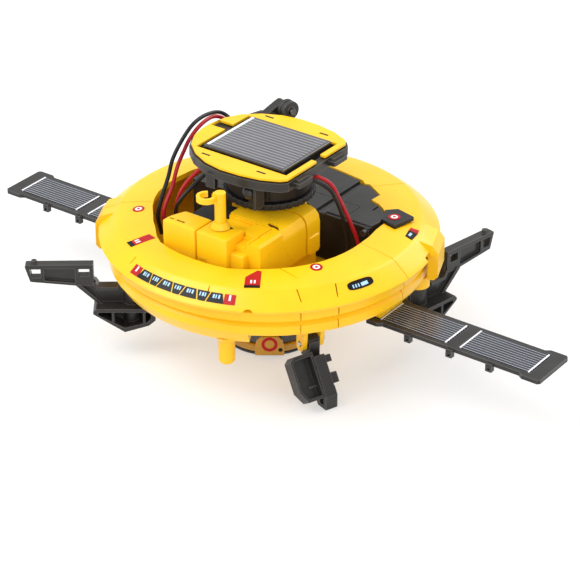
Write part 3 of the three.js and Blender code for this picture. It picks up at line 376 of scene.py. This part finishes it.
def curve_points(points, count):
    """A Catmull-Rom curve through the points, evenly spaced."""
    points = [Vector(p) for p in points]
    ends = [points[0] * 2 - points[1], *points, points[-1] * 2 - points[-2]]
    raw = []
    for i in range(1, len(ends) - 2):
        a, b, c, d = ends[i - 1:i + 3]
        for k in range(24):
            t = k / 24
            raw.append(0.5 * ((2 * b) + (c - a) * t + (2 * a - 5 * b + 4 * c - d) * t * t
                              + (3 * b - a - 3 * c + d) * t ** 3))
    raw.append(points[-1])
    lengths = [0.0]
    for p, q in zip(raw, raw[1:]):
        lengths.append(lengths[-1] + (q - p).length)
    out = []
    for i in range(count):
        want = lengths[-1] * i / (count - 1)
        k = min(len(raw) - 2, next(j for j in range(len(raw) - 1) if lengths[j + 1] >= want - 1e-9))
        share = (want - lengths[k]) / max(1e-9, lengths[k + 1] - lengths[k])
        out.append(raw[k].lerp(raw[k + 1], share))
    return out, lengths[-1]


def tube(name, line, radius, material, sides=14):
    """A closed round tube along a line of points."""
    points, faces = [], []
    normal = Vector((0.3, 0.5, 0.81)).normalized()
    for i, p in enumerate(line):
        ahead = line[min(i + 1, len(line) - 1)] - line[max(i - 1, 0)]
        ahead.normalize()
        normal = (normal - ahead * normal.dot(ahead)).normalized()
        side = ahead.cross(normal)
        for k in range(sides):
            angle = 2 * math.pi * k / sides
            points.append(p + (normal * math.cos(angle) + side * math.sin(angle)) * radius)
    for i in range(len(line) - 1):
        for k in range(sides):
            a, b = i * sides + k, i * sides + (k + 1) % sides
            faces.append((a, b, b + sides, a + sides))
    faces.append(tuple(range(sides))[::-1])
    faces.append(tuple((len(line) - 1) * sides + k for k in range(sides)))
    return mesh_object(name, points, faces, material, smooth=True)


# ---- wires ----
for route_name, route in WIRES.items():
    place, colour = route_name.split("_")
    line, length = curve_points([Vector(p) * MM for p in route], 80)
    wire = tube(f"wire_{route_name}_cord", line, WIRE_RADIUS * MM, MATERIALS[f"{colour}_wire"])
    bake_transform(wire)
    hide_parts(f"wire_{route_name}")


# ---- printed stickers: thin raised pieces that follow the surface they lie on ----
# Each surface function takes a point in the surface's own coordinates and a lift above it in millimetres.
STICKER_TOP, RING_TOP, STICKER_FOOT = 0.16, 0.19, -0.05  # lifts: a ring stands a little over its neighbours
OVERPRINT = 0.05  # extra lift of what is printed on another sticker


def on_band(angle, rise, lift=0.12):
    """A point on the sloping band: angle in degrees, rise from 0 at the rim to 1 at the crease."""
    (r0, z0), (r1, z1) = BAND
    radius, z = r0 + (r1 - r0) * rise, z0 + (z1 - z0) * rise
    slope = math.atan2(r0 - r1, z1 - z0)
    radius += lift * math.cos(slope)
    z += lift * math.sin(slope)
    a = math.radians(angle)
    return Vector((radius * math.cos(a), radius * math.sin(a), z)) * MM


def on_deck(x, y, lift=0.12):
    radius = math.hypot(x, y)
    z = np.interp(radius, [p[0] for p in DECK[::-1]], [p[1] for p in DECK[::-1]])
    return Vector((x, y, float(z) + lift)) * MM


def patch(outline, place, steps=1):
    """Points and faces of a thin closed piece, from its outline; place puts it on the surface."""
    rim = []
    for (a, b), (c, d) in zip(outline, outline[1:] + outline[:1]):
        for k in range(steps):
            rim.append((a + (c - a) * k / steps, b + (d - b) * k / steps))
    centre = (sum(p[0] for p in rim) / len(rim), sum(p[1] for p in rim) / len(rim))
    count = len(rim)
    points = [place(u, v, STICKER_TOP) for u, v in rim] + [place(*centre, STICKER_TOP)]
    points += [place(u, v, STICKER_FOOT) for u, v in rim] + [place(*centre, STICKER_FOOT)]
    faces = []
    for k in range(count):
        n = (k + 1) % count
        faces.append((k, n, count))
        faces.append((n + count + 1, k + count + 1, 2 * count + 1))
        faces.append((k + count + 1, n + count + 1, n, k))
    return points, faces


def sticker(name, body, ink, patches):
    points, faces = [], []
    for more_points, more_faces in patches:
        base = len(points)
        points += more_points
        faces += [tuple(i + base for i in face) for face in more_faces]
    obj = mesh_object(name, points, faces, ink)
    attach(obj, body)
    return obj


def disc(place, x, y, radius, inner=0.0, sides=28):
    """A round dot, or a ring, in the surface's coordinates."""
    if not inner:
        turns = [2 * math.pi * k / sides for k in range(sides)]
        return patch([(x + radius * math.cos(t), y + radius * math.sin(t)) for t in turns], place)
    points, faces = [], []
    for r, lift in ((radius, RING_TOP), (inner, RING_TOP), (inner, STICKER_FOOT), (radius, STICKER_FOOT)):
        for k in range(sides):
            angle = 2 * math.pi * k / sides
            points.append(place(x + r * math.cos(angle), y + r * math.sin(angle), lift))
    for k in range(sides):
        n = (k + 1) % sides
        for ring in range(4):
            a, b = ring * sides, ((ring + 1) % 4) * sides
            faces.append((a + k, b + k, b + n, a + n))
    return points, faces


def raised_band(angle, rise, lift):
    return on_band(angle, rise, lift + OVERPRINT)


def oblong(x0, x1, y0, y1):
    return [(x0, y0), (x1, y0), (x1, y1), (x0, y1)]


def window_strip():
    """The row of seven dark windows with a red block at each end, on the front left of the band."""
    first, last = -107.6, -64.4  # degrees round the band
    low, high = 0.10, 0.68  # share of the band's slope
    fields = 9
    gap, margin, tilt = 0.25, 0.2, 0.9  # degrees
    step = (last - first) / fields
    dark, pale, red, white = [], [], [], []
    for i in range(fields):
        a0, a1 = first + step * i + gap, first + step * (i + 1) - gap
        lean = tilt if i % 2 else -tilt
        if i in (0, fields - 1):
            red.append(patch(oblong(a0 + margin, a1 - margin, low, high), on_band, 2))
            mid = (a0 + a1) / 2
            white.append(patch(oblong(mid - 0.35, mid + 0.35, 0.32, 0.64), raised_band))
            continue
        top0, top1 = a0 + lean * 0.2, a1 - lean * 0.2
        dark.append(patch([(a0 - lean, low), (a1 + lean, low), (top1, high), (top0, high)], on_band, 2))
        for k in range(3):
            b0 = a0 + 1.0 + k * 0.95
            wide = 0.62 if (i + k) % 2 else 0.42
            pale.append(patch(oblong(b0, b0 + wide, 0.36, 0.58), raised_band))
    sticker("window_strip_dark", "hull", INK_AND_PAINTED_SHADE["black"], dark)
    sticker("window_strip_lights", "hull", INK_AND_PAINTED_SHADE["blue"], pale)
    sticker("window_strip_ends", "hull", INK_AND_PAINTED_SHADE["red"], red)
    sticker("window_strip_marks", "hull", INK_AND_PAINTED_SHADE["white"], white)


window_strip()


def target_dot(name, place, x, y, body="hull"):
    sticker(name + "_ring", body, INK_AND_PAINTED_SHADE["red"], [disc(place, x, y, 2.5, 1.5)])
    sticker(name + "_face", body, INK_AND_PAINTED_SHADE["white"], [disc(place, x, y, 1.75)])

    def raised(u, v, lift):
        return place(u, v, lift + 0.06)

    sticker(name + "_dot", body, INK_AND_PAINTED_SHADE["red"], [disc(raised, x, y, 0.62)])


target_dot("dot_left", on_deck, -44.6, -30.4)
target_dot("dot_front", on_deck, 43.5, -27.8)


def on_badge(x, y, lift=0.12):
    return Vector((x, y, 59.4 + lift)) * MM


target_dot("dot_badge", on_badge, 46.3, 23.0)


def turned_outline(outline, angle, x, y):
    c, s = math.cos(math.radians(angle)), math.sin(math.radians(angle))
    return [(x + c * u - s * v, y + s * u + c * v) for u, v in outline]


def raised_deck(x, y, lift):
    return on_deck(x, y, lift + OVERPRINT)


# long red sticker that runs inwards on the left front of the deck, with a dark outer end
LONG = (64.0, -29.6, -55.2)  # its turn in degrees and its place on the deck
sticker("long_red", "hull", INK_AND_PAINTED_SHADE["red"],
        [patch(turned_outline([(2.1, -2.1), (11.0, -2.1), (10.2, 2.1), (2.1, 2.1)], *LONG), on_deck, 3)])
sticker("long_red_base", "hull", INK_AND_PAINTED_SHADE["black"],
        [patch(turned_outline(oblong(0.2, 2.0, -2.1, 2.1), *LONG), on_deck, 2)])
sticker("long_red_marks", "hull", INK_AND_PAINTED_SHADE["white"],
        [patch(turned_outline(oblong(3.0, 5.0, v, v + 0.8), *LONG), raised_deck) for v in (-1.1, 0.4)])

# five-sided flag on the front deck, with a dark outer end
FLAG = (33.2, 31.4, -53.9)
FLAG_OUTLINE = [(-3.1, 1.5), (3.1, 1.5), (3.1, 10.6), (1.6, 11.2), (-3.0, 6.6)]
sticker("flag", "hull", INK_AND_PAINTED_SHADE["red"], [patch(turned_outline(FLAG_OUTLINE, *FLAG), on_deck, 3)])
sticker("flag_base", "hull", INK_AND_PAINTED_SHADE["black"],
        [patch(turned_outline(oblong(-3.2, 3.1, 0.0, 1.4), *FLAG), on_deck, 2)])
sticker("flag_marks", "hull", INK_AND_PAINTED_SHADE["white"],
        [patch(turned_outline(oblong(x, x + 0.7, 2.6, 4.6), *FLAG), raised_deck) for x in (-0.9, 0.5)])

# pill with lights on the right of the band: its middle, half length in degrees and half height
PILL_ANGLE, PILL_RISE, PILL_LONG, PILL_HIGH, PILL_SIDES = -20.6, 0.66, 5.2, 0.26, 24


def squared(value):
    """Swells a circle's sine or cosine, so that the circle turns into a rounded oblong."""
    return math.copysign(abs(value) ** 0.6, value)


pill = []
for k in range(PILL_SIDES):
    t = 2 * math.pi * k / PILL_SIDES
    pill.append((PILL_ANGLE + PILL_LONG * squared(math.cos(t)), PILL_RISE + PILL_HIGH * squared(math.sin(t))))
sticker("pill", "hull", INK_AND_PAINTED_SHADE["black"], [patch(pill, on_band)])
sticker("pill_lights", "hull", INK_AND_PAINTED_SHADE["blue"],
        [patch([(a, 0.5), (a + w, 0.52), (a + w, 0.72), (a, 0.7)], raised_band)
         for a, w in ((-24.0, 0.5), (-22.9, 0.5), (-21.8, 0.5), (-20.6, 2.8))])

# small red and black sticker near the right lug
sticker("side_mark", "hull", INK_AND_PAINTED_SHADE["black"],
        [patch([(56.6, 15.6), (60.2, 15.0), (59.2, 20.6), (55.0, 20.6)], on_deck, 2)])
sticker("side_mark_top", "hull", INK_AND_PAINTED_SHADE["red"],
        [patch([(55.0, 20.8), (59.2, 20.8), (58.0, 23.6), (54.4, 23.0)], on_deck, 2)])
sticker("side_mark_light", "hull", INK_AND_PAINTED_SHADE["blue"],
        [patch([(57.0, 17.0), (58.2, 16.8), (57.8, 19.2), (56.6, 19.4)], raised_deck)])


# ---- the panel plate's slots show the dark frame below, and black patches in them add painted shade ----
def on_frame(x, y, lift=0.0):
    return Vector((x, y, 87.45 + lift)) * MM


SLOT = oblong(-2.1, 2.1, -0.5, 0.5)
# painted shade: black patches at the bottom of the slots, over the dark frame
sticker("panel_slots_dark_frame_and_shade", "turntable", INK_AND_PAINTED_SHADE["black"],
        [patch([(x + u, y + v) for u, v in SLOT], on_frame)
         for x in (-15.9, 11.8) for y in (-21.4, 21.6)])



# ---- painted shade: dark brown patches fill the notches in the top of the gearbox blocks, where deep shadow falls ----
def notch(outline, z):
    return patch(outline, lambda x, y, lift: Vector((x, y, z + lift)) * MM)


sticker("gearbox_notch_shade", "hull", INK_AND_PAINTED_SHADE["brown"], [
    notch(oblong(-17.0, -15.0, -44.1, -43.4), 67.6),
    notch(oblong(-13.7, -9.7, -44.1, -43.2), 67.6),
    notch(oblong(7.1, 9.1, -37.5, -35.6), 67.6),
    notch([(16.6, -22.4), (20.9, -22.9), (23.2, -25.0), (19.4, -25.3), (17.1, -24.4)], 66.3),
])


# ---- helmet badge: red ring, and a black disc beside it as painted shade for a small hole ----
BADGE_HEADING = 36  # degrees
BADGE_FACE, BADGE_HEIGHT = 23.2, 7.6  # how far from the axis, and how high


def on_helmet_badge(u, v, lift=0.0):
    angle = math.radians(BADGE_HEADING)
    out = Vector((math.sin(angle), -math.cos(angle), 0))
    side = Vector((math.cos(angle), math.sin(angle), 0))
    return (out * (BADGE_FACE + lift) + side * u + Vector((0, 0, BADGE_HEIGHT + v))) * MM


sticker("badge_ring", "base", INK_AND_PAINTED_SHADE["red"], [disc(on_helmet_badge, 0, 0, 3.3, 2.1)])
# painted shade: a black disc stands in for the shade inside the small hole
sticker("badge_hole_shade", "base", INK_AND_PAINTED_SHADE["black"], [disc(on_helmet_badge, 4.5, -2.6, 0.85)])

# ---- floor, light and colour ----
def make_stage():
    mat, tree, shader = new_material("pale_floor")
    tree.links.new(ramp(tree, noise(tree, 3, 2), [(0.3, (0.47, 0.47, 0.47)), (0.7, (0.50, 0.50, 0.50))]),
                   shader.inputs["Base Color"])
    shader.inputs["Roughness"].default_value = 0.9
    shader.inputs["Emission Color"].default_value = (1, 1, 1, 1)
    shader.inputs["Emission Strength"].default_value = 0.46
    size = 6.0
    floor = mesh_object("floor", [(-size, -size, 0), (size, -size, 0), (size, size, 0), (-size, size, 0)],
                        [(0, 1, 2, 3)], mat)
    floor.location.z = -0.0002
    world = bpy.data.worlds.new("studio")
    world.use_nodes = True
    world.node_tree.nodes["Background"].inputs["Color"].default_value = (1, 1, 1, 1)
    world.node_tree.nodes["Background"].inputs["Strength"].default_value = 0.85
    bpy.context.scene.world = world
    lights = (
        ("key", (-0.5, -0.55, 1.1), 0.9, 11),
        ("fill", (0.9, -0.9, 0.7), 1.0, 5),
        ("rim", (0.2, 1.1, 0.9), 0.8, 7),
    )
    for name, place, size, watts in lights:
        data = bpy.data.lights.new(name, "AREA")
        data.size = size
        data.energy = watts
        lamp = bpy.data.objects.new(name, data)
        lamp.location = place
        lamp.rotation_euler = (Vector(place) - Vector((0, 0, 0.05))).to_track_quat("Z", "Y").to_euler()
        bpy.context.scene.collection.objects.link(lamp)
    bpy.context.scene.view_settings.view_transform = "Standard"
    bpy.context.scene.view_settings.look = "None"


make_stage()
